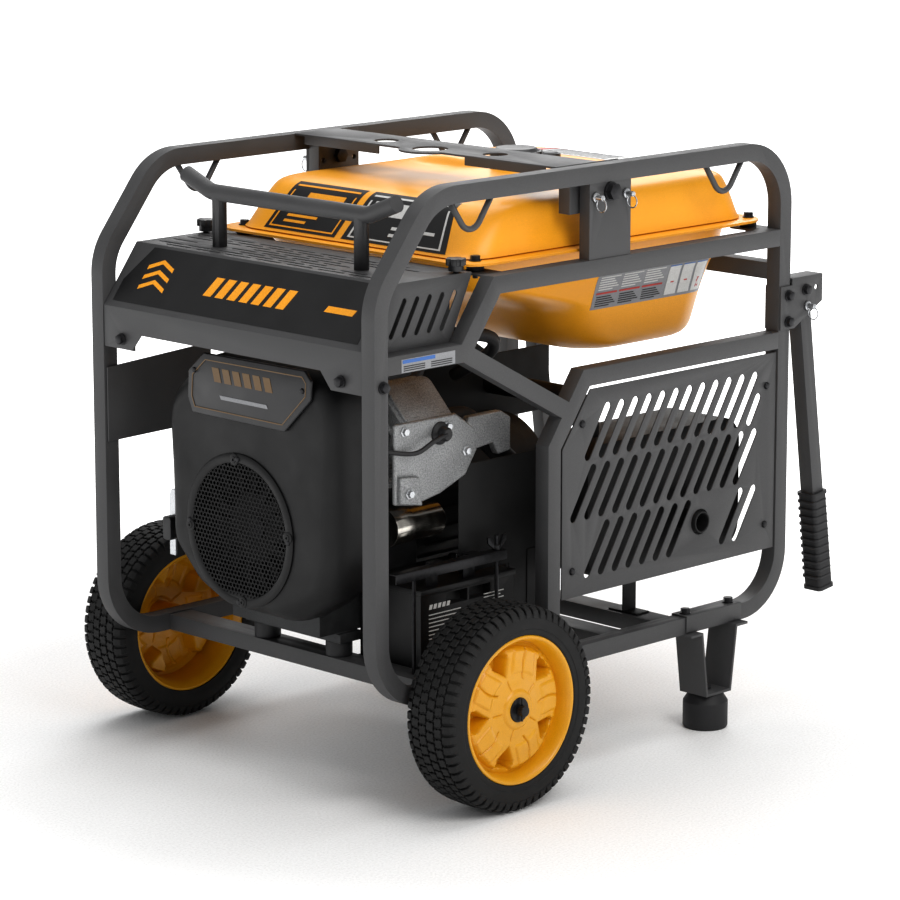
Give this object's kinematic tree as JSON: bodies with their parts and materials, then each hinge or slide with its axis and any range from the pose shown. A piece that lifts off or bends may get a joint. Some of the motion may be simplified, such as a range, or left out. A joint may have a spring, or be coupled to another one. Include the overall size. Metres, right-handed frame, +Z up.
{
  "type": "portable generator",
  "caption": "Wheeled portable generator: bent square tube frame, V-twin engine and alternator under an amber fuel tank, folding handles and a lifting bracket.",
  "frame": {"origin": "on the ground, under the middle of the machine's bounding box", "axes": "+X from the engine end towards the handles and feet, +Y towards the control panel, +Z up"},
  "size_m": [1.0208, 0.817, 0.9045],
  "materials": {
    "frame_paint": "fine-grained dark grey powder coat",
    "zinc_steel": "zinc-plated steel",
    "tank_paint": "satin amber enamel",
    "cast_aluminium": "grainy cast aluminium",
    "dark_paint": "matte black paint",
    "starter_steel": "polished steel",
    "rim_paint": "satin yellow paint",
    "tyre_rubber": "matte black tyre rubber",
    "rubber": "matte black rubber",
    "black_plastic": "grained black plastic",
    "red_plastic": "glossy red plastic"
  },
  "bodies": {
    "frame": {"side_loop_left": "frame_paint", "side_loop_right": "frame_paint", "inner_rails_left": "frame_paint", "inner_rails_right": "frame_paint", "tie_hooks": "frame_paint", "cross_members": "frame_paint", "lifting_bolts": "zinc_steel", "fuel_tank_upper": "tank_paint", "fuel_tank_lower": "tank_paint", "fuel_gauge": "black_plastic", "tank_bushings": "rubber", "flange_bolts": "zinc_steel", "panel_screws": "zinc_steel", "hood": "frame_paint", "grab_handle": "frame_paint", "engine_mounts": "rubber", "crankcase": "cast_aluminium", "cylinders": "cast_aluminium", "rocker_covers": "cast_aluminium", "blower_shroud": "dark_paint", "intake_grille": "dark_paint", "badge_cover": "dark_paint", "starter_motor": "starter_steel", "air_cleaner": "black_plastic", "exhaust_pipes": "dark_paint", "muffler": "dark_paint", "alternator": "dark_paint", "side_panel": "frame_paint", "battery": "black_plastic", "battery_tray": "frame_paint", "battery_hold_down": "zinc_steel", "axle": "zinc_steel", "wheel_retainers": "zinc_steel", "foot_brackets": "frame_paint", "rubber_feet": "rubber", "handle_brackets": "frame_paint", "control_panel": "black_plastic", "outlets": "black_plastic"},
    "wheel_left": {"rim_left": "rim_paint", "tyre_left": "tyre_rubber"},
    "wheel_right": {"rim_right": "rim_paint", "tyre_right": "tyre_rubber"},
    "handle_left": {"handle_arm_left": "frame_paint", "handle_grip_left": "rubber"},
    "handle_right": {"handle_arm_right": "frame_paint", "handle_grip_right": "rubber"},
    "handle_pin_left": {"lock_pin_left": "zinc_steel"},
    "handle_pin_right": {"lock_pin_right": "zinc_steel"},
    "lifting_frame": {"lifting_bracket": "frame_paint"},
    "lift_pin_lf": {"lift_pin_left_front": "zinc_steel"},
    "lift_pin_lr": {"lift_pin_left_rear": "zinc_steel"},
    "lift_pin_rf": {"lift_pin_right_front": "zinc_steel"},
    "lift_pin_rr": {"lift_pin_right_rear": "zinc_steel"},
    "cap": {"fuel_cap": "black_plastic"},
    "rotor": {"crankshaft": "zinc_steel", "flywheel_fan": "cast_aluminium"},
    "knob_left": {"hood_knob_left": "black_plastic"},
    "knob_right": {"hood_knob_right": "black_plastic"},
    "starter_button": {"start_button": "red_plastic"},
    "nut": {"wing_nut": "zinc_steel"}
  },
  "joints": [
    {"name": "left_wheel_spin", "type": "hinge", "parent": "frame", "child": "wheel_left", "pos_m": [-0.30528, -0.357, 0.152], "axis": [0, 1, 0], "continuous": true},
    {"name": "right_wheel_spin", "type": "hinge", "parent": "frame", "child": "wheel_right", "pos_m": [-0.30528, 0.357, 0.152], "axis": [0, 1, 0], "continuous": true},
    {"name": "left_handle_fold", "type": "hinge", "parent": "frame", "child": "handle_left", "pos_m": [0.42572, -0.2915, 0.665], "axis": [0, -1, 0], "range_deg": [0, 86]},
    {"name": "right_handle_fold", "type": "hinge", "parent": "frame", "child": "handle_right", "pos_m": [0.42572, 0.2915, 0.665], "axis": [0, -1, 0], "range_deg": [0, 86]},
    {"name": "left_handle_pin_pull", "type": "slide", "parent": "frame", "child": "handle_pin_left", "axis": [0, -1, 0], "range_m": [0, 0.012]},
    {"name": "right_handle_pin_pull", "type": "slide", "parent": "frame", "child": "handle_pin_right", "axis": [0, 1, 0], "range_m": [0, 0.012]},
    {"name": "lifting_bracket_raise", "type": "hinge", "parent": "frame", "child": "lifting_frame", "pos_m": [-0.01978, 0, 0.863], "axis": [0, 1, 0], "range_deg": [0, 90]},
    {"name": "lift_pin_lf_pull", "type": "slide", "parent": "frame", "child": "lift_pin_lf", "axis": [0, -1, 0], "range_m": [0, 0.018]},
    {"name": "lift_pin_lr_pull", "type": "slide", "parent": "frame", "child": "lift_pin_lr", "axis": [0, -1, 0], "range_m": [0, 0.018]},
    {"name": "lift_pin_rf_pull", "type": "slide", "parent": "frame", "child": "lift_pin_rf", "axis": [0, 1, 0], "range_m": [0, 0.018]},
    {"name": "lift_pin_rr_pull", "type": "slide", "parent": "frame", "child": "lift_pin_rr", "axis": [0, 1, 0], "range_m": [0, 0.018]},
    {"name": "fuel_cap_turn", "type": "hinge", "parent": "frame", "child": "cap", "pos_m": [0.09522, 0, 0.88], "axis": [0, 0, 1], "continuous": true},
    {"name": "crankshaft_spin", "type": "hinge", "parent": "frame", "child": "rotor", "pos_m": [0, 0, 0.3795], "axis": [1, 0, 0], "continuous": true},
    {"name": "left_knob_turn", "type": "hinge", "parent": "frame", "child": "knob_left", "pos_m": [-0.30528, -0.2675, 0.78], "axis": [0, 0, 1], "range_deg": [0, 90]},
    {"name": "right_knob_turn", "type": "hinge", "parent": "frame", "child": "knob_right", "pos_m": [-0.30528, 0.2675, 0.78], "axis": [0, 0, 1], "range_deg": [0, 90]},
    {"name": "start_button_press", "type": "slide", "parent": "frame", "child": "starter_button", "axis": [0, -1, 0], "range_m": [0, 0.003], "stiffness_N_per_m": 400},
    {"name": "wing_nut_turn", "type": "hinge", "parent": "frame", "child": "nut", "pos_m": [-0.18828, -0.236, 0.345], "axis": [0, 0, 1], "continuous": true}
  ]
}
